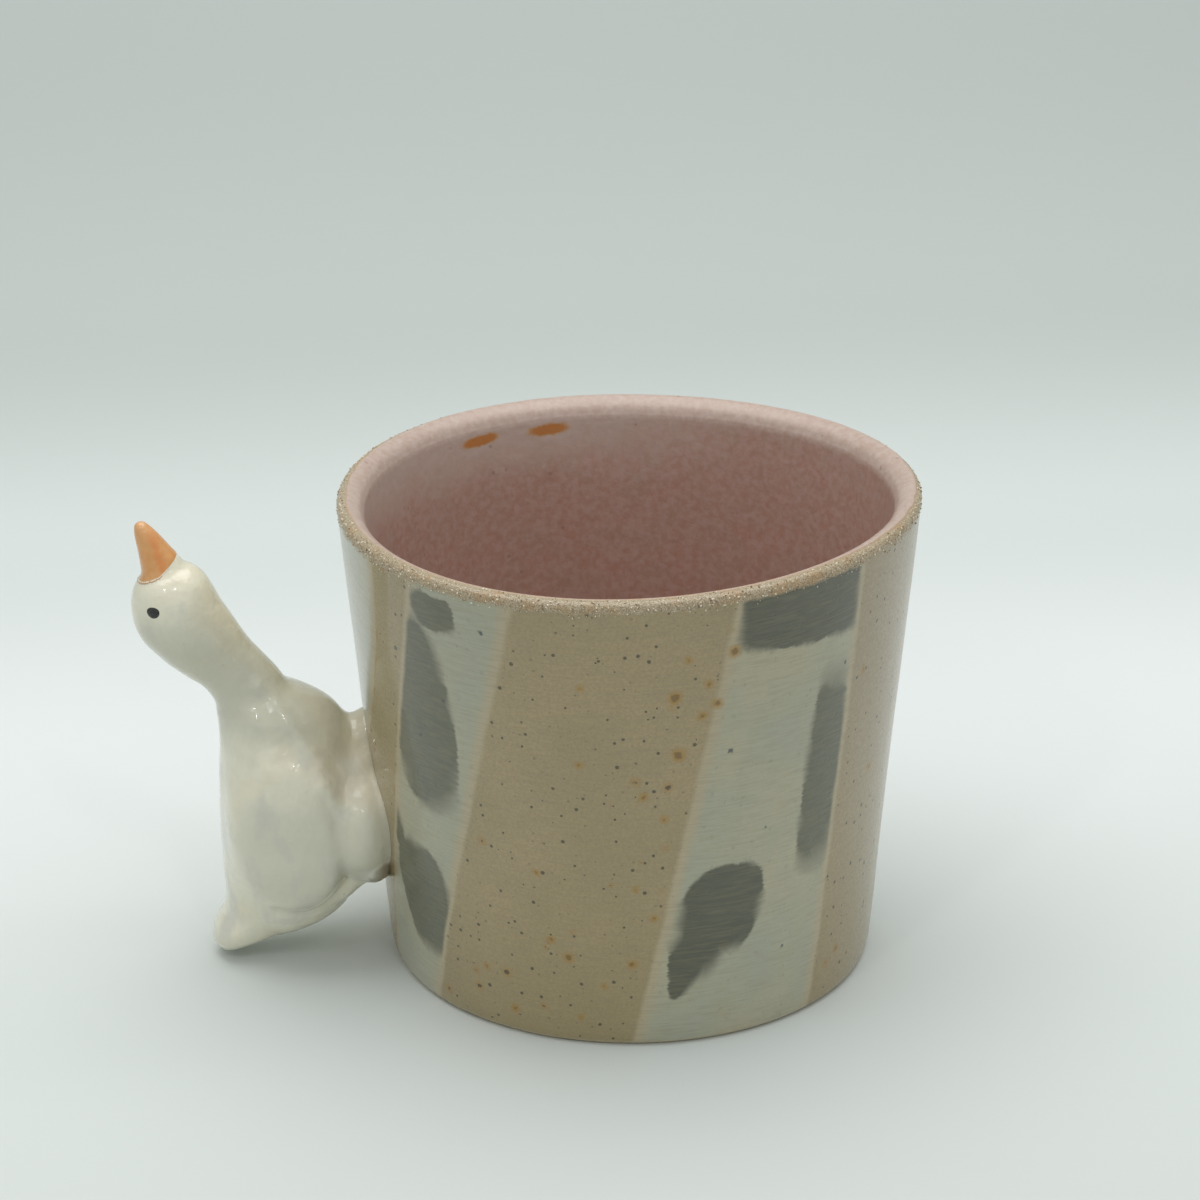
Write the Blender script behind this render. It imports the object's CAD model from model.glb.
import math

import bmesh
import bpy
import numpy as np
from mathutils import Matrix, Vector, noise
from mathutils.bvhtree import BVHTree


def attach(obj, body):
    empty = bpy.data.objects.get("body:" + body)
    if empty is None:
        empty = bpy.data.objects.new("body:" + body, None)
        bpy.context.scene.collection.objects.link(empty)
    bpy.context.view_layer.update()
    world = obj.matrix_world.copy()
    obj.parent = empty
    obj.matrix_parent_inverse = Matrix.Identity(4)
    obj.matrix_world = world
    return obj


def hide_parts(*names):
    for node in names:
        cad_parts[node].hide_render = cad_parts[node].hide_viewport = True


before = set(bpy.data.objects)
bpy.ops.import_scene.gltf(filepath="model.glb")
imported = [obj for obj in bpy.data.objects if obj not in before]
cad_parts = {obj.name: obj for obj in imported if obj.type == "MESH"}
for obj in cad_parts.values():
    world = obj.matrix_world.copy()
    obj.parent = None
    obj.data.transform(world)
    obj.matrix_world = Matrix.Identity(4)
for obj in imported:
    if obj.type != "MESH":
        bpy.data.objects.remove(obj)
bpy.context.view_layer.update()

# A stoneware mug with a white duck for its handle. The shapes are drawn in millimetres, in the CAD's own
# frame, and made in metres. The duck stands at -X and its right wing faces -Y.
mm = 0.001


# Helpers for meshes
def placed(name, data):
    piece = bpy.data.objects.new(name, data)
    bpy.context.scene.collection.objects.link(piece)
    return piece


def meshPiece(name, points, faces, edges=()):
    mesh = bpy.data.meshes.new(name)
    mesh.from_pydata([tuple(c * mm for c in p) for p in points], edges, faces)
    mesh.validate()
    return placed(name, mesh)


def dressed(piece, material):
    piece.data.materials.clear()
    piece.data.materials.append(material)
    piece.data.polygons.foreach_set("use_smooth", [True] * len(piece.data.polygons))
    piece.data.update()
    return piece


def workPiece(name, work, material):
    # The piece that a bmesh holds, with its faces outward
    bmesh.ops.recalc_face_normals(work, faces=work.faces)
    mesh = bpy.data.meshes.new(name)
    work.to_mesh(mesh)
    work.free()
    return dressed(placed(name, mesh), material)


def facesOutward(mesh):
    work = bmesh.new()
    work.from_mesh(mesh)
    bmesh.ops.recalc_face_normals(work, faces=work.faces)
    work.to_mesh(mesh)
    work.free()


def turnedToMesh(piece):
    # Puts the modifiers' result in the place of the piece's own mesh
    bpy.context.view_layer.update()
    graph = bpy.context.evaluated_depsgraph_get()
    mesh = bpy.data.meshes.new_from_object(piece.evaluated_get(graph))
    mesh.name = piece.name
    piece.modifiers.clear()
    piece.data = mesh


def readArray(items, name, width=3, kind=float):
    flat = np.empty(len(items) * width, dtype=kind)
    items.foreach_get(name, flat)
    return flat.reshape(-1, width)


def pointArray(mesh):
    return readArray(mesh.vertices, "co")


def normalArray(mesh):
    return readArray(mesh.vertex_normals, "vector")


def setPoints(mesh, points):
    mesh.vertices.foreach_set("co", points.ravel())
    mesh.update()


def keepValues(mesh, name, values):
    attribute = mesh.attributes.new(name, "FLOAT", "POINT")
    attribute.data.foreach_set("value", values.astype(np.float32))


def rise(values, low, high):
    # A straight ramp, from 0 at low to 1 at high
    return np.clip((values - low) / (high - low), 0, 1)


def throughPoints(points, steps):
    # A smooth curve through the points, each piece of it cut into the same number of steps
    points = np.array(points, dtype=float)
    padded = np.vstack([2 * points[0] - points[1], points, 2 * points[-1] - points[-2]])
    made = []
    for i in range(1, len(padded) - 2):
        a, b, c, d = padded[i - 1:i + 3]
        for k in range(steps):
            t = k / steps
            made.append(0.5 * (2 * b + (c - a) * t + (2 * a - 5 * b + 4 * c - d) * t ** 2
                               + (3 * b - a - 3 * c + d) * t ** 3))
    made.append(points[-1])
    return np.array(made)


# Helpers for node trees
class Field:
    # An output socket, which can be added, scaled and so on with Python's own signs
    def __init__(self, socket):
        self.socket = socket

    def __neg__(self):
        return self * -1.0

    def __abs__(self):
        return calc("ABSOLUTE", self)


for sign, operation in (("add", "ADD"), ("sub", "SUBTRACT"), ("mul", "MULTIPLY"), ("truediv", "DIVIDE"),
                        ("pow", "POWER")):
    setattr(Field, f"__{sign}__", lambda self, other, kind=operation: calc(kind, self, other))
    setattr(Field, f"__r{sign}__", lambda self, other, kind=operation: calc(kind, other, self))


def plug(value, socket):
    if isinstance(value, Field):
        socket.id_data.links.new(value.socket, socket)
    else:
        socket.default_value = value


def addNode(kind, inputs, tree=None, **settings):
    # A node in the tree of its first input, as its outputs by number and by name
    tree = tree or next(value.socket.id_data for value in inputs.values() if isinstance(value, Field))
    made = tree.nodes.new(kind)
    for name, value in settings.items():
        setattr(made, name, value)
    for name, value in inputs.items():
        plug(value, made.inputs[name])
    return {key: Field(socket) for k, socket in enumerate(made.outputs) for key in (k, socket.name)}


def calc(operation, *values):
    return addNode("ShaderNodeMath", dict(enumerate(values)), operation=operation)[0]


def largest(values):
    total = values[0]
    for value in values[1:]:
        total = calc("MAXIMUM", total, value)
    return total


def reshape(kind, geometry, inputs=None):
    # A geometry node, whose first input is what it works on
    return addNode("GeometryNode" + kind, {0: geometry, **(inputs or {})})[0]


def axes(place):
    return addNode("ShaderNodeSeparateXYZ", {0: place})


def ramp(value, low, high, toLow=0.0, toHigh=1.0):
    # A soft step: toLow at low and toHigh at high
    inputs = dict(enumerate((value, low, high, toLow, toHigh)))
    return addNode("ShaderNodeMapRange", inputs, interpolation_type="SMOOTHSTEP")[0]


def srgb(red, green, blue):
    # Colours are written as 0-255 screen values
    return tuple((c / 255 / 12.92 if c <= 10 else ((c / 255 + 0.055) / 1.055) ** 2.4)
                 for c in (red, green, blue)) + (1.0,)


def blend(share, colourA, colourB):
    ends = [srgb(*colour) if isinstance(colour, tuple) else colour for colour in (colourA, colourB)]
    return addNode("ShaderNodeMix", {0: share, 6: ends[0], 7: ends[1]}, data_type="RGBA")[2]


def layered(colour, *layers):
    # Lays colours over the first one, each given with its share
    for share, laid in layers:
        colour = blend(share, colour, laid)
    return colour


def grain(where, scale, detail=2.0, roughness=0.5, stretch=None):
    if stretch:
        where = addNode("ShaderNodeVectorMath", {0: where, 1: stretch}, operation="MULTIPLY")[0]
    inputs = {"Vector": where, "Scale": scale, "Detail": detail, "Roughness": roughness}
    return addNode("ShaderNodeTexNoise", inputs)[0]


def wander(value, inMm, scale, amount, stretch=None):
    # Sends the value up and down from place to place by half the amount
    return (grain(inMm, scale, 3.0, 0.6, stretch) - 0.5) * amount + value


def newGroup(name, inputs, outputs, kind="ShaderNodeTree"):
    # A node group. An input stands with its default, or with its type where it has none.
    tree = bpy.data.node_groups.new(name, kind)
    for label, default in inputs.items():
        bare = isinstance(default, str)
        socketType = "NodeSocket" + (default if bare else type(default).__name__.capitalize())
        socket = tree.interface.new_socket(label, in_out="INPUT", socket_type=socketType)
        if not bare:
            socket.default_value = default
    for label, socketType in outputs.items():
        tree.interface.new_socket(label, in_out="OUTPUT", socket_type="NodeSocket" + socketType)
    return tree, addNode("NodeGroupInput", {}, tree), tree.nodes.new("NodeGroupOutput").inputs


def useGroup(group, inputs):
    return addNode("ShaderNodeGroup", inputs, node_tree=group)


def setInputs(piece, group, values):
    modifier = piece.modifiers.new(group.name, "NODES")
    modifier.node_group = group
    for item in group.interface.items_tree:
        if item.in_out == "INPUT" and item.name in values:
            modifier[item.identifier] = values[item.name]


def newMaterial(name):
    # A material, with places on its object in millimetres
    material = bpy.data.materials.new(name)
    material.use_nodes = True
    where = addNode("ShaderNodeTexCoord", {}, material.node_tree)["Object"]
    return material, addNode("ShaderNodeVectorMath", {0: where, "Scale": 1000.0}, operation="SCALE")[0]


shaderInputs = {"coat": "Coat Weight", "coatRoughness": "Coat Roughness", "specular": "Specular IOR Level"}


def finished(material, colour, roughness, relief=None, depth=0.1, **plain):
    # Fills in the shader. The relief's depth is in millimetres.
    inputs = material.node_tree.nodes["Principled BSDF"].inputs
    if relief:
        bump = addNode("ShaderNodeBump", {"Height": relief, "Strength": 1.0, "Distance": depth * mm})
        plug(bump[0], inputs["Normal"])
    plug(colour, inputs["Base Color"])
    plug(roughness, inputs["Roughness"])
    for name, value in plain.items():
        inputs[shaderInputs[name]].default_value = value
    return material


# Effects that several finishes share
def speckGroup():
    # Dots of iron in clay or glaze: one in a share of the cells, of mixed sizes
    tree, given, out = newGroup("clayDots", {"Where": "Vector", "Cell": 2.0, "Size": 0.3, "Share": 0.5},
                                {"Dot": "Float", "Ring": "Float"})
    cells = addNode("ShaderNodeTexVoronoi", {"Vector": given["Where"], "Scale": 1.0 / given["Cell"]})
    pick = addNode("ShaderNodeSeparateColor", {0: cells["Color"]})
    there = calc("LESS_THAN", pick[0], given["Share"])
    size = given["Size"] * (pick[1] * 0.65 + 0.35)
    distance = cells["Distance"] + (grain(given["Where"], 3.0) * 0.12 - 0.06)
    plug(ramp(distance, size * 0.6, size, 1.0, 0.0) * there, out["Dot"])
    plug(ramp(distance, size, size * 2.6, 1.0, 0.0) * there, out["Ring"])
    return tree


def mottleGroup():
    # Soft clouds of colour in a glaze, from 0 to 1, with fine flecks apart
    tree, given, out = newGroup(
        "glazeClouds", {"Where": "Vector", "Cloud Size": 6.0, "Fleck Size": 0.8, "Sharpness": 1.0},
        {"Clouds": "Float", "Flecks": "Float"})
    clouds = grain(given["Where"], 1.0 / given["Cloud Size"], 4.0, 0.55)
    flecks = grain(given["Where"], 1.0 / given["Fleck Size"], 2.0, 0.6)
    half = 0.16 / given["Sharpness"]
    plug(ramp(clouds, 0.5 - half, 0.5 + half), out["Clouds"])
    plug(ramp(flecks, 0.5 - half, 0.5 + half), out["Flecks"])
    return tree


def bandGroup():
    # How far inside a slanted band a place on the wall is, in millimetres
    tree, given, out = newGroup(
        "slantedBand", {"Turn": 0.0, "Height": 0.0, "Middle": 0.0, "Slant": 0.0, "Bend": 0.0,
                        "Half Width": 10.0, "Flare": 0.0}, {"Inside": "Float"})
    height = given["Height"]
    middle = given["Middle"] + (height * given["Slant"] + height * height * given["Bend"])
    away = abs(calc("WRAP", given["Turn"] - middle, 180.0, -180.0))
    half = height * given["Flare"] + given["Half Width"]
    plug((half - away) * cup["perDegree"], out["Inside"])
    return tree


def dabGroup():
    # One dab of a loaded brush: a rounded block that can lean and narrow towards its lower end
    tree, given, out = newGroup(
        "brushDab", {"Turn": 0.0, "Height": 0.0, "At Turn": 0.0, "At Height": 0.0, "Half Width": 4.0,
                     "Half Height": 6.0, "Lean": 0.0, "Taper": 0.0, "Tilt": 0.0, "Squareness": 2.6},
        {"Inside": "Float"})
    across = calc("WRAP", given["Turn"] - given["At Turn"], 180.0, -180.0) * cup["perDegree"]
    up = across * given["Tilt"] + (given["Height"] - given["At Height"])
    across = across - up * given["Lean"]
    upShare = up / given["Half Height"]
    width = given["Half Width"] * calc("MAXIMUM", upShare * given["Taper"] + 1.0, 0.15)
    power = given["Squareness"]
    total = abs(across / width) ** power + abs(upShare) ** power
    plug((1.0 - total ** (1.0 / power)) * given["Half Width"], out["Inside"])
    return tree


def cloudsOf(inMm, cloudSize, fleckSize, sharpness):
    made = useGroup(glazeClouds, {"Where": inMm, "Cloud Size": cloudSize, "Fleck Size": fleckSize,
                                  "Sharpness": sharpness})
    return made["Clouds"], made["Flecks"]


def dotsOf(inMm, cell, size, share):
    return useGroup(clayDots, {"Where": inMm, "Cell": cell, "Size": size, "Share": share})


def insideEach(group, names, rows, turn, height):
    # How far inside each of the bands or dabs a place is
    return [useGroup(group, {"Turn": turn, "Height": height, **dict(zip(names, row))})["Inside"]
            for row in rows]


cup = {
    "height": 77.0, "footRadius": 38.5, "rimRadius": 44.9, "wall": 3.9, "floor": 5.0,
    "footRound": 1.6, "footHollow": 0.3, "footEdge": 4.0, "footSlope": 1.4, "insideRound": 4.0,
    "lipRise": 0.9, "crown": 0.34, "lipFall": 2.4, "lipBand": 2.2,
    # How finely the sections are cut. The rows start this far past the curves, so that none is very thin.
    "rowStep": 1.6, "floorStep": 2.5, "slopeStep": 0.7, "hiddenStep": 4.0, "hiddenRowStep": 5.0,
    "footSteps": 6, "insideSteps": 8, "hiddenSteps": 4, "sides": 430,
    "pastFoot": 1.0, "pastFloorCurve": 1.2, "pastHiddenCurve": 3.0, "belowLip": 0.8,
    "oval": 1.15, "ovalTowards": 21.0, "corners": 0.75, "cornersTowards": 10.0, "rimDrift": 0.75,
    "wobble": 0.22, "wobbleSize": 26.0, "lipRough": 0.08, "liningRough": 0.02, "lipRoughSize": 1.1,
    "lining": 0.16, "liningUnder": 0.8, "liningSunk": 0.3, "liningStart": 0.117,
    # The pink glaze ends on the lip, at this share of the way across it, and thins over this stretch.
    "glazeEnd": 0.27, "glazeEndSway": 0.15, "glazeEndTowards": -30.0, "glazeEndRough": 0.05,
    "glazeEndThins": (-0.2, 0.3),
    "perDegree": 0.73,  # the wall's length to a degree of turn
}

# A turn of 0 faces -Y, and 90 faces +X. Turns are in degrees and other lengths in millimetres, but a
# band's slant, bend, half width and flare are in degrees around the wall and millimetres up it.
bandNames = ("Middle", "Slant", "Bend", "Half Width", "Flare")
bands = [
    (-69.6, 0.457, -0.00098, 12.2, 0), (16.85, 0.236, -0.0005, 23.15, -0.076),
    (-158.4, 2.19, -0.015, 14, 0), (97, 0.02, 0, 14, 0.02),
    (130, 0.18, 0, 11, -0.02), (162, 0.22, 0, 12, 0.03),
]
dabNames = ("At Turn", "At Height", "Half Width", "Half Height", "Lean", "Taper", "Tilt", "Squareness")
dabs = [
    (31.4, 73.2, 11.6, 7.6, 0, 0, 0.08, 9), (14.9, 23.4, 6.3, 7.6, 0.08, 0.1, 0, 3),
    (10.4, 21, 4.8, 9.2, 0.16, 0.2, 0, 2.6), (7.2, 15.2, 3.9, 7, 0.4, 0.5, 0, 2.4),
    (-47.2, 71.4, 4.1, 2.9, 0, 0, 0.1, 3), (-52.6, 52.8, 6.3, 16.8, 0.03, -0.3, 0, 2.4),
    (-59, 18.6, 6.8, 9.6, -0.1, 0.1, 0, 2.6), (-68, 30, 1.7, 13, -0.32, -0.2, 0, 2.2),
    (39.3, 42.6, 4.1, 16.2, 0.07, -0.08, 0, 4),
    (143, 68, 6.5, 6.5, 0, 0.1, -0.1, 5), (138, 38, 3.4, 14, 0.1, -0.2, 0, 3),
    (131.5, 12, 4.6, 7, 0.1, 0.3, 0, 3), (175, 60, 4.4, 13, 0.1, -0.2, 0, 2.6),
    (167, 20, 5.6, 9, 0.1, 0.3, 0, 3.2), (-97, 30, 3.6, 10, 0.2, -0.2, 0, 2.6),
    (98.5, 62, 7, 6, 0, 0, 0.1, 6), (97, 30, 4, 11, 0, 0.3, 0, 3),
]
thickDabs = 4  # the first ones are laid on thicker
# Rust spots that stand out: turn, height and size
rustSpots = [
    (14.4, 67.4, 0.8), (2.2, 60.9, 0.85), (3.2, 51.2, 0.9), (11.2, 59.2, 0.6), (9.2, 62.6, 0.45),
    (7.9, 57.4, 0.55), (-4, 44.4, 0.5), (0.5, 40.4, 0.45), (-20.1, 15.7, 0.7), (-6, 14.9, 0.6),
    (-33.6, 4.6, 0.5), (-16.4, 62.9, 0.3), (-24, 18.5, 0.45), (-16.8, 49.8, 0.4), (-1.4, 23.1, 0.45),
    (4.9, 67, 0.35), (-5.3, 28.3, 0.35), (-26.5, 30.3, 0.35), (-40.5, 10.9, 0.4), (-12.3, 11, 0.35),
    (-17.6, 5, 0.3), (49.1, 8.6, 0.55), (51.3, 56.6, 0.45), (58, 38, 0.5), (104, 30, 0.6),
    (-110, 22, 0.6), (152, 50, 0.5),
]
# Dark blue-black spots on the slip: turn, height and size
inkSpots = [
    (14.4, 50.7, 0.42), (-35.7, 70.2, 0.3), (-59.1, 62.2, 0.35), (-53.5, 48.9, 0.4), (-46, 56.5, 0.28),
    (44.1, 59.8, 0.3), (30, 14, 0.22), (24, 36, 0.2), (140, 24, 0.35), (172, 44, 0.3),
]


def outerRadius(height):
    return cup["footRadius"] + (cup["rimRadius"] - cup["footRadius"]) * height / cup["height"]


def pressed(height, angle):
    # The hand-pressed outline: how far it stands out from the round one
    share = height / cup["height"]
    return share * (cup["oval"] * np.cos(2 * (angle - math.radians(cup["ovalTowards"])))
                    + cup["corners"] * np.cos(3 * (angle - math.radians(cup["cornersTowards"]))))


def rowsBetween(start, end, step):
    # Points from start up to, but without, end
    start, end = np.array(start, dtype=float), np.array(end, dtype=float)
    count = max(1, round(float(np.linalg.norm(end - start)) / step))
    return [tuple(start + (end - start) * k / count) for k in range(count)]


def quarter(x, z, radius, steps):
    # A quarter of a circle about (x, z), from its foot up to its side
    turns = [math.pi / 2 * k / steps for k in range(steps + 1)]
    return [(x + radius * math.sin(t), z - radius * math.cos(t)) for t in turns]


def wallRows(inset, start, end, step):
    return [(outerRadius(z) - inset, z) for _, z in rowsBetween((0, start), (0, end), step)]


def lipCurve():
    # Over the lip from its outer edge to its inner one. It falls further on the inside.
    wall, rise, fall, top, crown = cup["wall"], cup["lipRise"], cup["lipFall"], cup["height"], cup["crown"]
    drawn = [(0, top - rise), (0.3 * crown * wall, top - 0.33 * rise), (crown * wall, top),
             (0.62 * wall, top - 0.17 * fall), (0.86 * wall, top - 0.5 * fall), (wall, top - fall)]
    return [(outerRadius(z) - inset, z) for inset, z in throughPoints(drawn, 5)]


innerTop = cup["height"] - cup["lipFall"] - cup["belowLip"]


def insideProfile():
    # Down the inside, round its lower edge and in to the middle of the floor, as radius and height
    wall, floor, curve = cup["wall"], cup["floor"], cup["insideRound"]
    flat = outerRadius(floor + curve) - wall - curve
    return (wallRows(wall, innerTop, floor + curve, cup["rowStep"])
            + quarter(flat, floor + curve, curve, cup["insideSteps"])[::-1]
            + rowsBetween((flat - cup["pastFloorCurve"], floor), (0, floor), cup["rowStep"])
            + [(0, floor)])


def clayProfile():
    # The clay's section, as radius and height, from the middle of the foot round to the middle of the floor
    foot, hollow, rounded = cup["footRadius"], cup["footHollow"], cup["footRound"]
    edge = foot - cup["footEdge"]
    return (rowsBetween((0, hollow), (edge, hollow), cup["floorStep"])
            + rowsBetween((edge, hollow), (edge + cup["footSlope"], 0), cup["slopeStep"])
            + quarter(foot - rounded, rounded, rounded, cup["footSteps"])
            + wallRows(0, rounded + cup["pastFoot"], cup["height"] - cup["lipRise"], cup["rowStep"])
            + lipCurve() + insideProfile())


def liningProfile():
    # The pink glaze's section: on the clay over the lip and down the inside, and closed within the clay
    wall, floor, curve, under = cup["wall"], cup["floor"], cup["insideRound"], cup["liningUnder"]
    low, step = floor + curve, cup["hiddenStep"]
    flat = outerRadius(low) - wall - curve
    seen = [(radius, z) for radius, z in lipCurve() if outerRadius(z) - radius > cup["liningStart"]]
    hidden = ([(0, floor - under)] + rowsBetween((step, floor - under), (flat, floor - under), step)
              + quarter(flat, low, curve + under, cup["hiddenSteps"])
              + wallRows(wall - under, low + cup["pastHiddenCurve"], innerTop, cup["hiddenRowStep"]))
    return seen + insideProfile() + hidden + [seen[0]]


def throwingTree():
    # Sweeps a section round the axis, then presses the round wall out of true as a hand does
    tree, given, out = newGroup(
        "thrownCup", {"Geometry": "Geometry", "Sides": 200, "Height": 0.077, "Foot Radius": 0.0385,
                      "Oval": 0.001, "Oval Towards": 0.0, "Corners": 0.001, "Corners Towards": 0.0,
                      "Rim Drift": 0.001, "Wobble": 0.0002, "Wobble Size": 0.02, "Lip Rough": 0.0001,
                      "Lip Rough Size": 0.001, "Lip Start": 0.075, "Clay": "Material"},
        {"Geometry": "Geometry"}, "GeometryNodeTree")
    place = addNode("GeometryNodeInputPosition", {}, tree)[0]
    axis = axes(place)

    # The section lies in XZ, and is stood on the ring as (radius - ring, -height).
    onRing = addNode("ShaderNodeCombineXYZ", {"X": axis["X"] - given["Foot Radius"], "Y": -axis["Z"]})[0]
    section = reshape("MeshToCurve", reshape("SetPosition", given["Geometry"], {"Position": onRing}))
    ring = addNode("GeometryNodeCurvePrimitiveCircle",
                   {"Resolution": given["Sides"], "Radius": given["Foot Radius"]})[0]
    swept = reshape("CurveToMesh", ring, {"Profile Curve": section})
    closed = reshape("MergeByDistance", swept, {"Distance": 2e-6})

    share = axis["Z"] / given["Height"]
    angle = calc("ARCTAN2", axis["Y"], axis["X"])
    radius = calc("SQRT", axis["X"] * axis["X"] + axis["Y"] * axis["Y"])

    def lobes(count, towards, size):
        return calc("COSINE", (angle - calc("RADIANS", towards)) * count) * size

    press = share * (lobes(2.0, given["Oval Towards"], given["Oval"])
                     + lobes(3.0, given["Corners Towards"], given["Corners"]))
    wobble = (grain(place, 1.0 / given["Wobble Size"], 1.0) - 0.5) * (given["Wobble"] * 2.0)
    onLip = ramp(axis["Z"], given["Lip Start"], given["Lip Start"] + 0.0006)
    rough = onLip * ((grain(place, 1.0 / given["Lip Rough Size"]) - 0.5) * given["Lip Rough"])
    fade = ramp(radius, 0.0, given["Foot Radius"] * 0.7)
    grow = fade * (press + (wobble + rough))
    hand = addNode("ShaderNodeCombineXYZ",
                   {"X": calc("COSINE", angle) * grow - given["Rim Drift"] * share,
                    "Y": calc("SINE", angle) * grow, "Z": rough})[0]
    smooth = reshape("SetShadeSmooth", reshape("SetPosition", closed, {"Offset": hand}))
    plug(reshape("SetMaterial", smooth, {"Material": given["Clay"]}), out["Geometry"])
    return tree


def thrown(name, profile, material, changes=None):
    # Turns a section of the cup into a plain mesh
    ids = range(len(profile) - 1)
    piece = meshPiece(name, [(r, 0, z) for r, z in profile], [], [(i, i + 1) for i in ids])
    values = {"Sides": cup["sides"], "Oval Towards": cup["ovalTowards"],
              "Corners Towards": cup["cornersTowards"], "Lip Start": (cup["height"] - cup["lipBand"]) * mm,
              "Clay": material}
    for label in ("Height", "Foot Radius", "Oval", "Corners", "Rim Drift", "Wobble", "Wobble Size",
                  "Lip Rough", "Lip Rough Size"):
        values[label] = cup[label[0].lower() + label[1:].replace(" ", "")] * mm
    setInputs(piece, throwingNodes, {**values, **(changes or {})})
    turnedToMesh(piece)
    facesOutward(piece.data)
    return piece


def pastGlazeEnd(points):
    # How far each point lies inside the edge of the pink glaze on the lip, in millimetres across the wall
    z = points[:, 2] / mm
    x, y = points[:, 0] / mm + cup["rimDrift"] * z / cup["height"], points[:, 1] / mm
    across = (outerRadius(z) - (np.hypot(x, y) - pressed(z, np.arctan2(y, x)))) / cup["wall"]
    turn = np.degrees(np.arctan2(x, -y))
    ragged = np.array([noise.noise(Vector(p) * 260) + 0.6 * noise.noise(Vector(p) * 900)
                       for p in points])
    end = cup["glazeEnd"] + cup["glazeEndSway"] * np.cos(np.radians(turn - cup["glazeEndTowards"]))
    return (across - end - cup["glazeEndRough"] * ragged) * cup["wall"]


def layGlaze(piece):
    # The lining is raised off the clay on its seen side, and sinks into it at its edge on the lip.
    mesh = piece.data
    points, normals = pointArray(mesh), normalArray(mesh)
    past = pastGlazeEnd(points)
    radial = points[:, :2] / np.maximum(np.hypot(points[:, 0], points[:, 1]), 1e-9)[:, None]
    outward = (normals[:, :2] * radial).sum(axis=1)
    seen = (normals[:, 2] > 0.3) | (outward < -0.3)
    onLip = points[:, 2] / mm > innerTop - 1
    share = np.where(onLip, rise(past, *cup["glazeEndThins"]), 1.0)
    share = share * share * (3 - 2 * share)
    lift = np.where(seen, cup["lining"] * share - cup["liningSunk"] * (1 - share), 0)
    setPoints(mesh, points + normals * (lift * mm)[:, None])
    keepValues(mesh, "fromGlazeEnd", np.where(onLip, past, 9.0))


def wallWhere(inMm):
    # Turn in degrees and height in millimetres
    axis = axes(inMm)
    return calc("DEGREES", calc("ARCTAN2", axis["X"], -axis["Y"])), axis["Z"]


def storedValue(inMm, name):
    return addNode("ShaderNodeAttribute", {}, inMm.socket.id_data, attribute_name=name)["Fac"]


def spotsInside(spots, turn, height):
    rows = [(atTurn, atHeight, size, size) for atTurn, atHeight, size in spots]
    return largest(insideEach(brushDab, dabNames, rows, turn, height))


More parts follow.
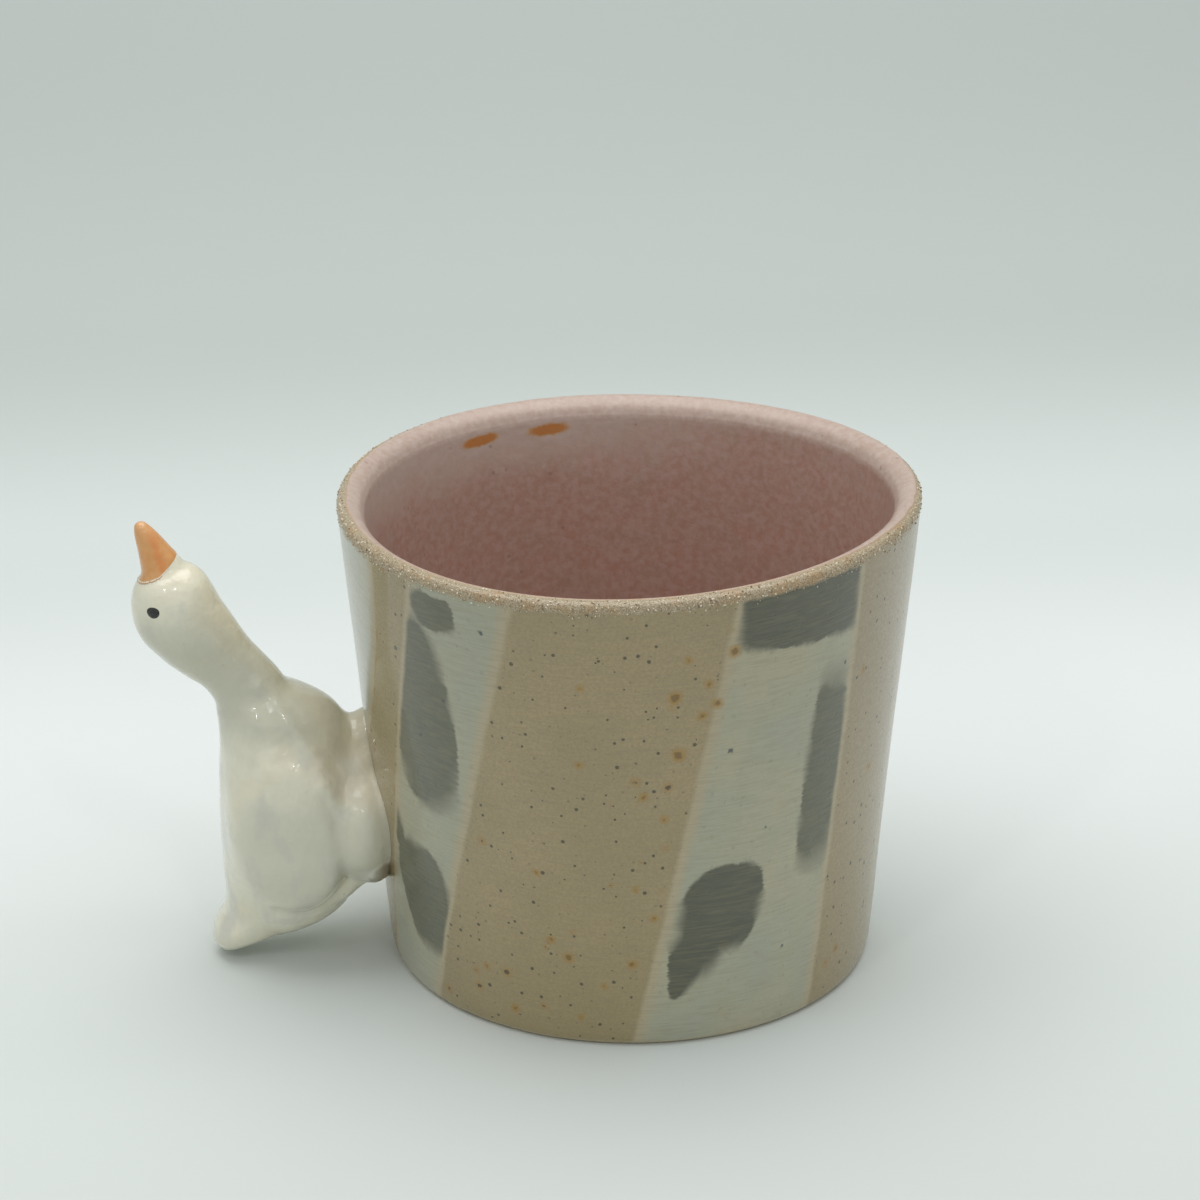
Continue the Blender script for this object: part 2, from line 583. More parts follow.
def stonewareMaterial():
    material, inMm = newMaterial("stoneware")
    turn, height = wallWhere(inMm)
    bandTurn = wander(turn, inMm, 0.12, 1.6)
    bandInside = largest(insideEach(slantedBand, bandNames, bands, bandTurn, height))
    dabTurn = wander(wander(turn, inMm, 0.22, 2), inMm, 0.55, 1.7, (0.25, 0.25, 5))
    dabHeight = wander(wander(height, inMm, 0.22, 2.4), inMm, 1.2, 0.6)
    eachDab = insideEach(brushDab, dabNames, dabs, dabTurn, dabHeight)
    thickInside = largest(eachDab[:thickDabs])
    dabInside = largest([thickInside] + eachDab[thickDabs:])
    band = ramp(bandInside, 0.6, 2.8)
    slip = ramp(bandInside, -0.4, 0.7)
    # A dab's edge is crisp in places and drags out thin in others.
    softness = ramp(grain(inMm, 0.14, 1), 0.4, 0.62, 0.3, 1.5)
    dab = ramp(dabInside, softness * -0.8, softness) * ramp(bandInside, 0.5, 1.5)

    # Bare clay: warm buff with a pinker stretch, browner low down, and a fine sandy grain
    clouds, flecks = cloudsOf(inMm, 16, 0.42, 1.1)
    clay = layered(
        blend(clouds, (160, 145, 106), (168, 150, 112)),
        (ramp(abs(turn - 62), 12, 22, 1, 0), (163, 146, 114)),
        (ramp(wander(height, inMm, 0.06, 20), 8, 40, 0.45, 0), (152, 137, 94)),
        (flecks * 0.34, (131, 117, 85)))
    # Celadon over white slip, with a paler rim of bare slip at its edges
    haze, hazeFlecks = cloudsOf(inMm, 19, 0.8, 0.8)
    celadon = blend(hazeFlecks * 0.2, blend(haze, (177, 171, 143), (164, 166, 145)), (153, 154, 136))
    # Slate dabs, thinner along the strokes
    strokes = ramp(grain(inMm, 0.3, 3, 0.6, (1, 1, 5)), 0.3, 0.75)
    slate = layered(
        blend(strokes, (80, 82, 63), (95, 96, 74)),
        (ramp(thickInside, -0.5, 0.5), blend(strokes, (62, 65, 49), (76, 79, 60))),
        (hazeFlecks * 0.18, (68, 71, 56)))
    # Throwing and cloth lines that run round the wall
    lines = grain(inMm, 1, 2, 0.6, (0.22, 0.22, 3.8))

    # Iron in the clay: fine dots, larger black ones, and rust with a dark heart
    onClay = 1 - slip * 0.88
    fine, dark, rust = [dotsOf(inMm, *sizes) for sizes in
                        ((1.3, 0.24, 0.5), (1.5, 0.28, 0.5), (4.6, 0.12, 0.4))]
    spotTurn, spotHeight = wander(turn, inMm, 0.9, 1.6), wander(height, inMm, 1.3, 1.2)
    spots = spotsInside(rustSpots, spotTurn, spotHeight)
    ink = spotsInside(inkSpots, spotTurn, spotHeight)
    # Glaze that ran brown down the edge of the white slip beside the duck
    run = ramp(abs(bandInside + 0.1), 0.1, 0.45, 1, 0) * ramp(turn, -62, -60, 1, 0)
    run = run * ramp(turn, -96, -94) * ramp(grain(inMm, 0.22), 0.44, 0.58, 0.1, 0.75)

    # The sandy lip, and the foot's edge
    lip = ramp(wander(height, inMm, 0.5, 1.1), cup["height"] - 2, cup["height"] - 1.4)
    sand = grain(inMm, 4.6, 3, 0.75)
    sandy = layered(
        blend(ramp(sand, 0.38, 0.64), (140, 122, 92), (196, 181, 153)),
        (ramp(grain(inMm, 0.3, 3), 0.5, 0.7, 0, 0.45), (172, 132, 82)),
        (dotsOf(inMm, 0.6, 0.42, 0.35)["Dot"] * 0.6, (112, 92, 60)))
    foot = ramp(wander(height, inMm, 0.3, 0.6), 0, 1.1, 1, 0)
    bare = calc("MAXIMUM", lip, foot)

    colour = layered(
        clay, (slip, (178, 165, 134)), (band, celadon), (dab * 0.94, slate),
        (ramp(lines, 0.4, 0.7) * 0.26, (134, 123, 96)),
        (ramp(height, 20, 76, 0, 0.08), (70, 66, 50)),
        (fine["Dot"] * onClay * 0.5, (112, 100, 70)),
        (rust["Ring"] * (onClay * 0.5), (160, 122, 58)),
        (calc("MAXIMUM", dark["Dot"], rust["Dot"]) * (onClay * 0.9), (72, 65, 42)),
        (ramp(spots, -0.7, 0.35, 0, 0.75), (158, 120, 34)),
        (ramp(spots, 0.1, 0.45, 0, 0.7), (104, 78, 36)),
        (ramp(ink, -0.15, 0.15, 0, 0.85), (52, 62, 66)),
        (run, (150, 118, 66)), (lip, sandy),
        (foot, blend(flecks, (198, 178, 140), (210, 194, 158))))
    gloss = flecks * 0.08 + (band * -0.07 + 0.37)
    relief = lines * 0.45 + grain(inMm, 1.6, 4, 0.65) * (band * -0.3 + 0.6)
    relief = dark["Dot"] * -0.4 + (sand * bare * 1.2 + relief)
    return finished(material, colour, calc("MAXIMUM", gloss, bare * 0.85), relief,
                    coat=0.7, coatRoughness=0.14)


# Two orange marks inside the cup, as dabs
innerMarks = [(turn, 72.9, 3.3, 0.95, 0, 0, 0.06, 2.2) for turn in (-149, -166.5)]


def pinkMaterial():
    material, inMm = newMaterial("pinkGlaze")
    turn, height = wallWhere(inMm)
    clouds, flecks = cloudsOf(inMm, 4.5, 1.1, 0.7)
    # Paler near the lip, and most so towards the duck
    upper = ramp(wander(height, inMm, 0.12, 9), 62, 74) * ramp(axes(inMm)["X"], 0, 26, 0.8, 0.1)
    onLip = ramp(wander(height, inMm, 0.3, 1), cup["height"] - 4, cup["height"] - 1.6)
    fromEnd = wander(storedValue(inMm, "fromGlazeEnd"), inMm, 2, 0.5)
    marks = largest(insideEach(brushDab, dabNames, innerMarks, wander(turn, inMm, 0.3, 2),
                               wander(height, inMm, 0.7, 1)))
    colour = layered(
        blend(clouds, (175, 134, 118), (170, 138, 121)),
        (flecks * 0.4, (192, 172, 166)), (upper, (192, 175, 163)),
        (onLip, blend(flecks, (180, 156, 142), (190, 171, 159))),
        (ramp(fromEnd, 0.05, 0.5, 0.75, 0), (176, 146, 108)),
        (dotsOf(inMm, 2.4, 0.2, 0.25)["Dot"] * 0.35, (120, 84, 70)),
        (ramp(marks, -1.2, 0.3, 0, 0.6), (190, 150, 96)),
        (ramp(marks, -0.5, 0.8, 0, 0.95), (182, 120, 62)))
    relief = grain(inMm, 0.5) + flecks * 0.1
    return finished(material, colour, ramp(flecks, 0, 1, 0.32, 0.42), relief)


def grogMaterial():
    material, inMm = newMaterial("lipGrog")
    tint = grain(inMm, 2.2, 1)
    colour = layered(
        blend(ramp(tint, 0.42, 0.56), (150, 122, 82), (226, 218, 196)),
        (ramp(tint, 0.34, 0.4, 1, 0), (96, 80, 56)))
    return finished(material, colour, ramp(grain(inMm, 4), 0.3, 0.7, 0.2, 0.6))


def grogTree():
    # Scatters grains of sand and melted grog on the lip
    tree, given, out = newGroup(
        "lipGrains", {"Geometry": "Geometry", "Lip Start": 0.075, "Density": 1e6, "Smallest": 0.0001,
                      "Largest": 0.0003, "Seed": 7, "Grog": "Material"},
        {"Geometry": "Geometry"}, "GeometryNodeTree")
    height = axes(addNode("GeometryNodeInputPosition", {}, tree)[0])["Z"]
    bare = addNode("GeometryNodeInputNamedAttribute", {"Name": "bare"}, tree, data_type="FLOAT")[0]
    points = addNode("GeometryNodeDistributePointsOnFaces",
                     {"Mesh": given["Geometry"],
                      "Selection": bare * calc("GREATER_THAN", height, given["Lip Start"]),
                      "Density": given["Density"], "Seed": given["Seed"]})
    ball = addNode("GeometryNodeMeshIcoSphere", {"Radius": 1.0, "Subdivisions": 1}, tree)["Mesh"]
    sizes = addNode("FunctionNodeRandomValue", {2: given["Smallest"], 3: given["Largest"],
                                                "Seed": given["Seed"]}, data_type="FLOAT")[1]
    grains = reshape("InstanceOnPoints", points["Points"], {"Instance": ball, "Scale": sizes,
                                                            "Rotation": points["Rotation"]})
    grains = reshape("SetMaterial", reshape("RealizeInstances", grains), {"Material": given["Grog"]})
    plug(grains, out["Geometry"])
    return tree


print("effects and finishes of the cup")
clayDots, glazeClouds, slantedBand, brushDab = speckGroup(), mottleGroup(), bandGroup(), dabGroup()
stoneware, pinkGlaze = stonewareMaterial(), pinkMaterial()

print("cup: clay and lining")
throwingNodes = throwingTree()
cupClay = thrown("cupClay", clayProfile(), stoneware)
cupLining = thrown("cupLining", liningProfile(), pinkGlaze, {"Lip Rough": cup["liningRough"] * mm})
layGlaze(cupLining)

# Grains: how many on a square metre, and their sizes and start under the rim in millimetres
grog = {"density": 2.6e6, "smallest": 0.05, "largest": 0.19, "lipStart": 1.7, "seed": 11, "fromGlaze": 0.1}


def lipGrainPiece():
    piece = placed("lipGrains", cupClay.data.copy())
    keepValues(piece.data, "bare", pastGlazeEnd(pointArray(piece.data)) < -grog["fromGlaze"])
    setInputs(piece, grogTree(), {
        "Lip Start": (cup["height"] - grog["lipStart"]) * mm, "Density": grog["density"],
        "Smallest": grog["smallest"] * mm, "Largest": grog["largest"] * mm, "Seed": grog["seed"],
        "Grog": grogMaterial()})
    turnedToMesh(piece)
    return piece


lipGrains = lipGrainPiece()


duck = {
    "axisOut": 54.2, "sides": 56, "steps": 10, "voxel": 0.34, "smoothing": 9,
    # Sections from the bottom up: back from the axis, up, half depth, half width and lean
    "body": [(3.8, 4.1, 3.3, 3.6, 0), (2.3, 6.6, 7.3, 6.9, 0), (0.9, 10.2, 10, 9.4, 0),
             (0.25, 16, 11.15, 11.5, 0), (0.25, 25, 11.35, 12.1, 0), (0.2, 31, 11.3, 11.6, 0),
             (0.4, 36.5, 11, 10.6, 0), (1.1, 40.6, 10.2, 9.4, 0), (2.5, 43.8, 8.9, 7.6, 0),
             (4.4, 46.2, 6.2, 5.6, 0), (5.4, 47.8, 3.4, 3.2, 0)],
    "neckAndHead": [(3.5, 41.2, 5.6, 5.4, 14), (5.7, 45.6, 5.6, 5.4, 30), (9.1, 50.4, 5.2, 5.1, 42),
                    (11.8, 53.5, 6.0, 5.5, 46), (14.75, 56.9, 6.7, 6, 44), (17.15, 60.5, 7.0, 6.2, 36),
                    (18.4, 63.9, 6.1, 5.6, 26), (18.95, 66.2, 4.5, 4.3, 20), (19.15, 67.5, 2.3, 2.2, 18)],
    "beak": [(17.9, 64.6, 3.6, 3.4, 24), (18.75, 67.3, 3.35, 3.1, 24), (20.1, 70.4, 2.45, 2.3, 24),
             (21.4, 73.2, 1.55, 1.6, 24), (22.1, 74.8, 0.8, 0.85, 24)],
    "tail": [(3.9, 8.6, 5, 6.4, 132), (6.9, 6.5, 4.5, 6.2, 128), (9.7, 4.6, 3.6, 5.6, 124),
             (11.6, 3.2, 2.6, 4.4, 120), (12.5, 2.5, 1.4, 2.6, 118)],
    # Pads: out, up, to the side, half depth, half width, half height and lean
    "wings": [(55.0, 25.2, side * 8.1, 9.8, 4.8, 14.2, 4) for side in (-1, 1)],
    "lugs": [(43.6, 24.6, 0, 7.6, 14, 10.4, 0), (43.8, 33.2, 0, 4.6, 7.4, 6.0, 0),
             (42.8, 38.3, 0, 2.4, 4.2, 2.9, 0), (47.2, 13.6, 0, 8.5, 8.5, 3.2, 37),
             (41.8, 18.2, 0, 4.0, 11.5, 4.4, 0)],
    # A wing's pad stands further out low down and near the cup.
    "wingFullness": 2.9, "wingSplayUp": 0.03, "wingSplayBack": 0.13,
    # Thumbed ridges on each side, as out and up, with their height and width
    "ridges": [
        ([(58.8, 48.4), (57.6, 47.2), (55.3, 44.6), (52.8, 41.1), (50.3, 37.6), (49.6, 34.5)], 0.42, 1.1),
        ([(59.6, 43.6), (58.0, 41.6), (57.2, 39.4)], 0.25, 1.1),
        ([(65.4, 33.4), (62.2, 35.4), (57.6, 36.0), (53.0, 34.6)], 0.3, 2.2),
        ([(64.6, 40.8), (60.2, 41.2), (55.4, 40.2)], -0.26, 2.2),
        ([(59.0, 29.5), (56.6, 24.0)], -0.3, 3.0),
        ([(48.5, 31.5), (47.2, 26.5), (46.5, 21.3), (46.9, 17.6), (48.5, 15.0), (50.5, 13.3),
          (53.5, 12.0), (56.9, 11.4)], -0.4, 1.3)],
    "swell": 0.16, "wallDepth": 0.7, "flare": 0.5, "flareReach": 1.3, "bendTurns": 12,
    "bareSpot": (-40.3, -10.0, 17.2),
}

# How slip fills the hollows. The masks run from none to all, in millimetres up, out or aside.
filling = {
    "turns": 170, "renewEvery": 15, "share": 0.9, "foldShare": 0.22, "wipeTurns": 200, "wipeShare": 0.6,
    "foldTop": (33, 28), "foldOut": (60, 57), "foldFoot": (8.5, 10), "foldIn": (44.6, 45.8),
    "foldStepsOut": 3.4, "foldStepUp": (19, 15), "foldAside": (6.5, 7.5), "gapOut": (51, 49),
    "gapUp": (39.5, 41.5), "rimTop": (43, 40), "rimFoot": (8, 11), "rimOut": (48.5, 50.5),
}


def leaned(out, up, lean, ahead, aside, along=0.0):
    # A point beside (out, up), in a frame that leans by so many degrees
    tip = math.radians(lean)
    return (-out + ahead * math.cos(tip) - along * math.sin(tip), aside,
            up + ahead * math.sin(tip) + along * math.cos(tip))


def loftPoints(sections):
    sections = throughPoints([(duck["axisOut"] + back, up, deep, wide, lean)
                              for back, up, deep, wide, lean in sections], duck["steps"])
    points, faces, sides = [], [], duck["sides"]
    for out, up, deep, wide, lean in sections:
        for k in range(sides):
            turn = 2 * math.pi * k / sides
            points.append(leaned(out, up, lean, deep * math.cos(turn), wide * math.sin(turn)))
    for row in range(len(sections) - 1):
        for k in range(sides):
            a, b = row * sides + k, row * sides + (k + 1) % sides
            faces.append((a, b, b + sides, a + sides))
    for row, way in ((0, -1), (len(sections) - 1, 1)):
        out, up, _, wide, lean = sections[row]
        points.append(leaned(out, up, lean, 0.0, 0.0, way * wide / 3))
        for k in range(sides):
            a, b = row * sides + k, row * sides + (k + 1) % sides
            faces.append((b, a, len(points) - 1) if way < 0 else (a, b, len(points) - 1))
    return points, faces


def padPoints(out, up, aside, deep, wide, high, lean):
    way = (aside > 0) - (aside < 0)
    full = duck["wingFullness"] if way else 2.0
    work = bmesh.new()
    bmesh.ops.create_icosphere(work, subdivisions=4, radius=1.0)
    points = []
    for v in work.verts:
        thick = (1 - (1 - min(1.0, v.co.y ** 2)) ** (full / 2)) ** (1 / full)
        x, y, z = v.co.x * deep, math.copysign(thick, v.co.y) * wide, v.co.z * high
        splay = way * (duck["wingSplayBack"] * x - duck["wingSplayUp"] * z)
        points.append(leaned(out, up, lean, x, aside + y + splay, z))
    faces = [tuple(v.index for v in f.verts) for f in work.faces]
    work.free()
    return points, faces


def neighbourMean(values, edges):
    a, b = edges[:, 0], edges[:, 1]
    columns = values.reshape(len(values), -1)
    count = len(columns)
    near = np.maximum(np.bincount(a, minlength=count) + np.bincount(b, minlength=count), 1)
    total = [np.bincount(a, columns[b, k], count) + np.bincount(b, columns[a, k], count)
             for k in range(columns.shape[1])]
    return (np.stack(total, axis=1) / near[:, None]).reshape(values.shape)


def duckClayPiece(material):
    # All the pads and lofts in one skin
    points, faces = [], []
    parts = [loftPoints(duck[name]) for name in ("body", "neckAndHead", "beak", "tail")]
    for partPoints, partFaces in parts + [padPoints(*pad) for pad in duck["wings"] + duck["lugs"]]:
        faces += [tuple(i + len(points) for i in face) for face in partFaces]
        points += partPoints
    piece = meshPiece("duckClay", points, faces)
    remesh = piece.modifiers.new("luted", "REMESH")
    remesh.mode = "VOXEL"
    remesh.voxel_size = duck["voxel"] * mm
    smooth = piece.modifiers.new("wiped", "SMOOTH")
    smooth.factor = 0.5
    smooth.iterations = duck["smoothing"]
    turnedToMesh(piece)
    mesh = piece.data
    points, edges = pointArray(mesh), readArray(mesh.edges, "vertices", 2, np.int64)

    # Slip and glaze fill the hollows where the pieces meet, least along the folds of the wings.
    out, up = -points[:, 0] / mm, points[:, 2] / mm
    fold = rise(up, *filling["foldTop"]) * rise(out, *filling["foldOut"]) * rise(up, *filling["foldFoot"])
    fold *= rise(out - filling["foldStepsOut"] * rise(up, *filling["foldStepUp"]), *filling["foldIn"])
    fold *= rise(np.abs(points[:, 1]) / mm, *filling["foldAside"])
    gap = rise(out, *filling["gapOut"]) * rise(up, *filling["gapUp"])
    share = (1 - (1 - filling["foldShare"]) * np.maximum(fold, gap))[:, None]
    for turn in range(filling["turns"]):
        if turn % filling["renewEvery"] == 0:
            setPoints(mesh, points)
            normals = normalArray(mesh)
        step = ((neighbourMean(points, edges) - points) * normals).sum(axis=1, keepdims=True)
        points = points + normals * np.maximum(step, 0) * share * filling["share"]

    # Elsewhere the rim of each wing is wiped into the body.
    rim = (1 - fold) * rise(up, *filling["rimTop"]) * rise(up, *filling["rimFoot"])
    rim *= rise(out, *filling["rimOut"])
    for _ in range(filling["wipeTurns"]):
        points += (neighbourMean(points, edges) - points) * (rim * filling["wipeShare"])[:, None]

    # Ridges that a thumb left on the sides
    side = rise(np.abs(normals[:, 1]), 0.3, 0.6)
    for line, high, wide in duck["ridges"]:
        curve = throughPoints(line, 8)
        away = np.min(np.hypot(out[:, None] - curve[:, 0], up[:, None] - curve[:, 1]), axis=1)
        points += normals * (high * mm * np.exp(-(away / wide) ** 2) * side)[:, None]

    # Hand-formed: shallow dents and swells
    swell = np.array([noise.noise(Vector(p) * 95)
                      + 0.5 * noise.noise(Vector(p) * 260 + Vector((3, 1, 2))) for p in points])
    points += normals * (swell * duck["swell"] * mm)[:, None]

    # Where the lugs run into the cup's wall, the clay stops just inside it, and flares a little on it.
    height = points[:, 2] / mm
    drift = cup["rimDrift"] * height / cup["height"]
    x, y = points[:, 0] / mm + drift, points[:, 1] / mm
    angle, radius = np.arctan2(y, x), np.hypot(x, y)
    wall = outerRadius(height) + pressed(height, angle)
    least = wall - duck["wallDepth"]
    flare = rise(radius - wall, duck["flareReach"], 0) ** 2 * duck["flare"]
    outward = normals[:, 1] * np.cos(angle) - normals[:, 0] * np.sin(angle)
    angle = angle + flare * outward / radius
    radius = np.maximum(radius, least)
    points = np.stack([radius * np.cos(angle) - drift, radius * np.sin(angle),
                       height + flare * normals[:, 2]], axis=1) * mm
    setPoints(mesh, points)

    # How the surface bends, for glaze that breaks on ridges and pools in hollows
    bend = ((points - neighbourMean(points, edges)) * normalArray(mesh)).sum(axis=1) / mm
    for _ in range(duck["bendTurns"]):
        bend = neighbourMean(bend, edges)
    keepValues(mesh, "bend", bend)
    print("duck clay:", len(mesh.vertices), "points")
    return dressed(piece, material)


def whiteMaterial():
    material, inMm = newMaterial("whiteGlaze")
    bend = storedValue(inMm, "bend")
    clouds, flecks = cloudsOf(inMm, 7, 0.9, 0.7)
    streaks, warm = grain(inMm, 0.16, 3, 0.6, (1, 1, 0.6)), grain(inMm, 0.1)
    # A spot of bare clay where the lower lug leaves the wall
    spot = addNode("ShaderNodeVectorMath", {0: inMm, 1: duck["bareSpot"]}, operation="DISTANCE")["Value"]
    # The glaze lies thinner on the neck and the shoulder, greyer on the wings, and warmer towards the cup.
    axis = axes(inMm)
    height = wander(axis["Z"], inMm, 0.13, 12)
    thin = ramp(height, 34, 44) * ramp(height, 54, 64, 1, 0)
    wing = ramp(height, 36, 27) * ramp(height, 9, 17) * ramp(abs(axis["Y"]), 8, 12)
    middle = ramp(axis["Z"], 38, 66, duck["axisOut"], duck["axisOut"] + 18)
    towardsCup = ramp(wander(-axis["X"] - middle, inMm, 0.12, 8), -1, -8) * ramp(height, 33, 38)
    colour = layered(
        blend(clouds, (231, 227, 205), (224, 221, 200)),
        (ramp(streaks, 0.5, 0.68, 0, 0.5), (198, 199, 190)),
        (ramp(warm, 0.5, 0.68, 0, 0.35), (222, 210, 180)),
        (ramp(bend, 0.006, 0.03, 0, 0.5), (216, 206, 178)),
        (ramp(bend, -0.012, -0.05, 0, 0.5), (196, 196, 184)),
        (dotsOf(inMm, 2.6, 0.12, 0.3)["Dot"] * 0.3, (150, 138, 108)),
        (ramp(wander(spot, inMm, 0.6, 1.2), 1.8, 2.8, 0.85, 0), (118, 102, 80)),
        (thin * 0.75, (187, 186, 167)), (wing * 0.5, (186, 186, 170)), (towardsCup * 0.4, (206, 192, 158)))
    return finished(material, colour, ramp(flecks, 0, 1, 0.14, 0.22), grain(inMm, 0.35) + flecks * 0.05,
                    depth=0.25, specular=0.35, coat=0.6, coatRoughness=0.03)


print("duck: clay in one skin")
duckClay = duckClayPiece(whiteMaterial())

# The beak's base line starts this far past its root, and rises towards the cup. The coat is raised by its
# lift, and its rim and its unseen back are sunk in the clay.
beak = {"root": (73.0, 66.4), "lean": 24.0, "start": 0.65, "backRise": 0.32, "backFrom": -0.2,
        "lift": 0.05, "fade": 0.45, "rimSunk": 0.025, "backSunk": 0.9, "backNarrower": 0.25, "reach": 4.0}


def orangeMaterial():
    material, inMm = newMaterial("orangeGlaze")
    axis = axes(inMm)
    height = axis["Z"]
    clouds, flecks = cloudsOf(inMm, 2.2, 0.5, 0.6)
    # The glaze is redder in a streak down each side, and thin and pale at the tip and the edge.
    streak = abs(wander(-axis["X"] - ((height - 67) * 0.3 + 72.6), inMm, 0.7, 1.6))
    colour = layered(
        blend(clouds, (221, 162, 100), (212, 148, 84)),
        (ramp(streak, 0.1, 1, 0.5, 0), (220, 124, 52)),
        (ramp(height, 71.5, 75.2, 0, 0.75), (222, 172, 118)),
        (ramp(height, 68.4, 66.6, 0, 0.5), (208, 160, 108)))
    return finished(material, colour, ramp(flecks, 0, 1, 0.16, 0.26), grain(inMm, 0.8), depth=0.15,
                    coat=0.5, coatRoughness=0.08)


def beakPiece(material):
    # The beak is the clay past its base line, in a coat of orange glaze.
    tip = math.radians(beak["lean"])
    rootOut, rootUp = beak["root"]

    def ahead(co):
        x, z = co.x / mm + rootOut, co.z / mm - rootUp
        along = -x * math.sin(tip) + z * math.cos(tip)
        towardsCup = x * math.cos(tip) + z * math.sin(tip)
        return along - beak["start"] - beak["backRise"] * max(0.0, towardsCup - beak["backFrom"])

    work = bmesh.new()
    work.from_mesh(duckClay.data)
    bmesh.ops.delete(work, geom=[v for v in work.verts if v.co.z < (rootUp - beak["reach"]) * mm],
                     context="VERTS")
    value = {v: ahead(v.co) for v in work.verts}
    behind = [f for f in work.faces if max(value[v] for v in f.verts) < 0]
    bmesh.ops.delete(work, geom=behind, context="FACES")
    bmesh.ops.delete(work, geom=[v for v in work.verts if not v.link_faces], context="VERTS")
    # The rim's points slide onto the base line.
    small = 0.01 * mm
    for v in work.verts:
        if v.is_boundary:
            for _ in range(3):
                here = ahead(v.co)
                slope = Vector([(ahead(v.co + Vector(axis) * small) - here) / small
                                for axis in ((1, 0, 0), (0, 1, 0), (0, 0, 1))])
                v.co -= slope * here / slope.length_squared
    work.normal_update()
    for v in work.verts:
        share = min(1.0, max(0.0, ahead(v.co) / beak["fade"]))
        v.co += v.normal * (beak["lift"] * share - beak["rimSunk"] * (1 - share)) * mm
    rim = [e for e in work.edges if e.is_boundary]
    grown = bmesh.ops.extrude_edge_only(work, edges=rim)["geom"]
    inner = [g for g in grown if isinstance(g, bmesh.types.BMVert)]
    middle = sum((v.co for v in inner), Vector()) / len(inner)
    for v in inner:
        v.co = v.co.lerp(middle, beak["backNarrower"])
        v.co.z -= beak["backSunk"] * mm
    bmesh.ops.contextual_create(work, geom=[g for g in grown if isinstance(g, bmesh.types.BMEdge)])
    bmesh.ops.triangulate(work, faces=[f for f in work.faces if len(f.verts) > 4])
    return workPiece("duckBeak", work, material)


duckBeak = beakPiece(orangeMaterial())

eye = {"out": 74.66, "up": 61.99, "radius": 1.0, "uneven": (0.05, 0.03), "proud": 0.2, "edgeSunk": 0.04,
       "sunk": 0.5, "rings": 7, "sides": 32, "pressedFrom": 20.0}


def blackMaterial():
    material, inMm = newMaterial("blackGlaze")
    clouds, flecks = cloudsOf(inMm, 1.2, 0.3, 0.6)
    return finished(material, blend(clouds, (34, 36, 34), (52, 53, 49)), ramp(flecks, 0, 1, 0.2, 0.34))


def eyePiece(name, side, material):
    # A low dome of black slip that follows the side of the head
    head = BVHTree.FromPolygons([v.co for v in duckClay.data.vertices],
                                [p.vertices for p in duckClay.data.polygons])
    work = bmesh.new()
    rings, sides, (oval, corners) = eye["rings"], eye["sides"], eye["uneven"]
    rows = []
    for ring in range(rings + 1):
        share = ring / rings
        row = []
        for k in range(sides if ring else 1):
            turn = 2 * math.pi * k / sides
            uneven = 1 + oval * math.sin(2 * turn + 1) + corners * math.sin(3 * turn)
            reach = eye["radius"] * share * uneven
            x, z = -eye["out"] + reach * math.cos(turn), eye["up"] + reach * math.sin(turn)
            start = Vector((x * mm, side * eye["pressedFrom"] * mm, z * mm))
            hit = head.ray_cast(start, Vector((0, -side, 0)))[0]
            lift = eye["proud"] * (1 - share ** 3) - eye["edgeSunk"] * share
            row.append(work.verts.new((hit.x, hit.y + side * lift * mm, hit.z)))
        rows.append(row)
    rows.append([work.verts.new((v.co.x, v.co.y - side * eye["sunk"] * mm, v.co.z)) for v in rows[-1]])
    back = work.verts.new(sum((v.co for v in rows[-1]), Vector()) / sides)
    for k in range(sides):
        n = (k + 1) % sides
        work.faces.new((rows[0][0], rows[1][k], rows[1][n]))
        for inner, outer in zip(rows[1:], rows[2:]):
            work.faces.new((inner[k], outer[k], outer[n], inner[n]))
        work.faces.new((rows[-1][k], back, rows[-1][n]))
    return workPiece(name, work, material)


print("duck: beak and eyes")
blackGlaze = blackMaterial()
rightEye, leftEye = eyePiece("rightEye", -1, blackGlaze), eyePiece("leftEye", 1, blackGlaze)


# What each piece stands for
for piece, slot, nodes in (
        (cupClay, "stoneware", ["cup_wall"]),
        (cupLining, "pink_glaze", ["cup_floor"]),
        (lipGrains, "stoneware", []),
        (duckClay, "white_glaze", ["duck_body", "duck_tail", "right_wing", "left_wing",
                                   "duck_neck_and_head", "lower_lug", "upper_lug"]),
        (duckBeak, "orange_glaze", ["duck_beak"]),
        (rightEye, "black_glaze", ["right_eye"]),
        (leftEye, "black_glaze", ["left_eye"])):
    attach(piece, "root")
    if nodes:
        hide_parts(*nodes)


stage = {
    "flat": (-1300, -600, -200, 0), "bendStart": 150, "bendRadius": 330, "bendSteps": 24,
    "top": 1500, "halfWidth": 1600,
    # The paper's tone from front to back: distance and colour. The light falls off from the middle.
    "paper": [(-160, 208, 213, 209), (-40, 214, 220, 216), (80, 226, 230, 228), (170, 211, 217, 214),
              (255, 186, 192, 188), (340, 178, 184, 180)],
    # Lights: name, place, what it faces, size and watts
    "lights": [("topSoftbox", (0, 110, 640), (0, 60, 0), (740, 580), 3.12),
               ("leftStrip", (-260, -420, 520), (-50, 0, 40), (22, 90), 0.2),
               ("rightStrip", (60, -520, 600), (-50, 0, 40), (26, 80), 0.2)],
    "air": (0.96, 0.98, 1.0, 1), "airStrength": 0.6,
}


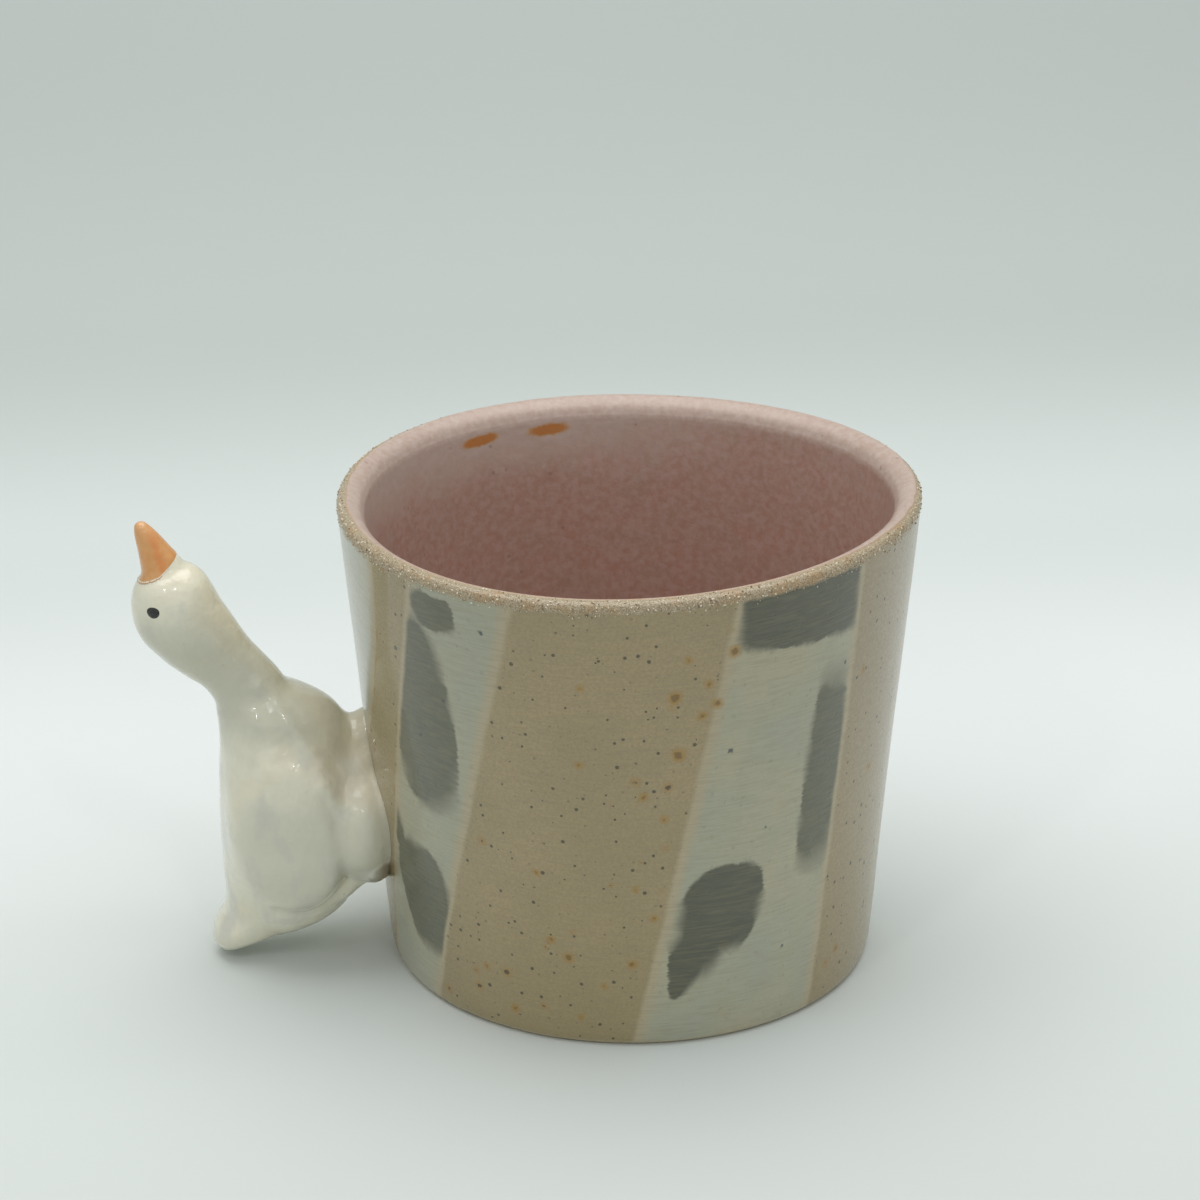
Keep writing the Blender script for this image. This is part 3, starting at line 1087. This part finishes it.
def sweepPiece():
    # A floor that rises behind in one curve
    line = [(y, 0) for y in stage["flat"]]
    line += quarter(stage["bendStart"], stage["bendRadius"], stage["bendRadius"], stage["bendSteps"])
    line.append((line[-1][0], stage["top"]))
    points = [(x, y, z) for y, z in line for x in (-stage["halfWidth"], stage["halfWidth"])]
    faces = [(2 * k, 2 * k + 1, 2 * k + 3, 2 * k + 2) for k in range(len(line) - 1)]
    material, inMm = newMaterial("sweepPaper")
    back = axes(inMm)["Y"]
    paper = stage["paper"][0][1:]
    for (start, *_), (end, *tone) in zip(stage["paper"], stage["paper"][1:]):
        paper = blend(ramp(back, start, end), paper, tuple(tone))
    finished(material, paper, 0.7, specular=0.2)
    # The paper's underside is clear, so the object is seen from behind too.
    nodes = material.node_tree.nodes
    fromBehind = addNode("ShaderNodeNewGeometry", {}, material.node_tree)["Backfacing"]
    clear = addNode("ShaderNodeBsdfTransparent", {}, material.node_tree)[0]
    seen = Field(nodes["Principled BSDF"].outputs[0])
    oneSided = addNode("ShaderNodeMixShader", {0: fromBehind, 1: seen, 2: clear})[0]
    plug(oneSided, nodes["Material Output"].inputs["Surface"])
    piece = dressed(meshPiece("sweep", points, faces), material)


def softbox(name, place, towards, size, watts):
    data = bpy.data.lights.new(name, "AREA")
    data.shape = "RECTANGLE"
    data.size, data.size_y = size[0] * mm, size[1] * mm
    data.energy = watts
    lamp = placed(name, data)
    lamp.location = Vector(place) * mm
    lamp.rotation_euler = (Vector(towards) - Vector(place)).to_track_quat("-Z", "Y").to_euler()


cameraView = {"place": (-69.83, -606.34, 319.90), "ahead": (0.0979, 0.9140, -0.3937), "lens": 126.7,
              "film": 36.0, "nearest": 0.01, "farthest": 20.0}

print("floor, light and camera")
sweepPiece()
for light in stage["lights"]:
    softbox(*light)
world = bpy.data.worlds.new("studio")
world.use_nodes = True
world.node_tree.nodes["Background"].inputs["Color"].default_value = stage["air"]
world.node_tree.nodes["Background"].inputs["Strength"].default_value = stage["airStrength"]
bpy.context.scene.world = world
bpy.context.scene.view_settings.view_transform = "Standard"

lens = bpy.data.cameras.new("photographer")
lens.lens, lens.sensor_width = cameraView["lens"], cameraView["film"]
lens.clip_start, lens.clip_end = cameraView["nearest"], cameraView["farthest"]
camera = placed("photographer", lens)
camera.location = Vector(cameraView["place"]) * mm
camera.rotation_euler = Vector(cameraView["ahead"]).to_track_quat("-Z", "Y").to_euler()
bpy.context.scene.camera = camera
